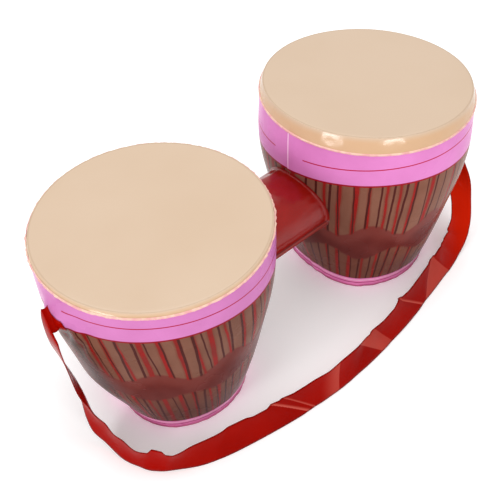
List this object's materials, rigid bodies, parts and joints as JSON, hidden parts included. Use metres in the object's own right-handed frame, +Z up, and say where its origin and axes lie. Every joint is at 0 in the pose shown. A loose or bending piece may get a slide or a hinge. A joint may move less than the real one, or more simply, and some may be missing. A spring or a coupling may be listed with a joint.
{
  "type": "inflatable toy bongo drums",
  "caption": "Inflatable vinyl toy bongos: leaning tapered drums with flat welded heads, an air bridge between them, a carrying strap that swings over, and a push-in valve with a tethered plug",
  "frame": {"origin": "on the floor midway between the centres of the two drum bases", "axes": "+X runs through both drums towards the one with the valve, -Y is the side the strap lies on, +Z is up"},
  "size_m": [0.5727, 0.2676, 0.2301],
  "materials": {
    "head_vinyl": "satin beige vinyl film",
    "wall_vinyl": "glossy printed vinyl film, brown with stripes",
    "base_vinyl": "glossy pink vinyl film",
    "bridge_vinyl": "glossy dark red vinyl film",
    "strap_vinyl": "glossy red vinyl film",
    "valve_vinyl": "soft white moulded vinyl"
  },
  "bodies": {
    "drums": {"head_left": "head_vinyl", "head_right": "head_vinyl", "wall_left": "wall_vinyl", "wall_right": "wall_vinyl", "base_left": "base_vinyl", "base_right": "base_vinyl", "bridge_upper": "bridge_vinyl", "bridge_lower": "bridge_vinyl", "strap_tab_left": "strap_vinyl", "strap_tab_right": "strap_vinyl", "valve_flange": "valve_vinyl"},
    "strap": {"strap_band": "strap_vinyl"},
    "stem": {"valve_stem": "valve_vinyl", "plug_tether": "valve_vinyl"},
    "flap": {"valve_flap": "valve_vinyl"},
    "plug": {"valve_plug": "valve_vinyl"}
  },
  "joints": [
    {"name": "strap_swing", "type": "hinge", "parent": "drums", "child": "strap", "pos_m": [0, 0, 0.182], "axis": [-1, 0, 0], "range_deg": [0, 270]},
    {"name": "valve_pull", "type": "slide", "parent": "drums", "child": "stem", "axis": [-0.0101, 0.9702, -0.2419], "range_m": [0, 0.012]},
    {"name": "flap_swing", "type": "hinge", "parent": "stem", "child": "flap", "pos_m": [0.14692, 0.07865, 0.06971], "axis": [-0.9991, 0, 0.0419], "range_deg": [0, 50]},
    {"name": "plug_pull", "type": "slide", "parent": "stem", "child": "plug", "axis": [-0.0101, 0.9702, -0.2419], "range_m": [0, 0.014], "deforming": ["plug_tether"]}
  ]
}
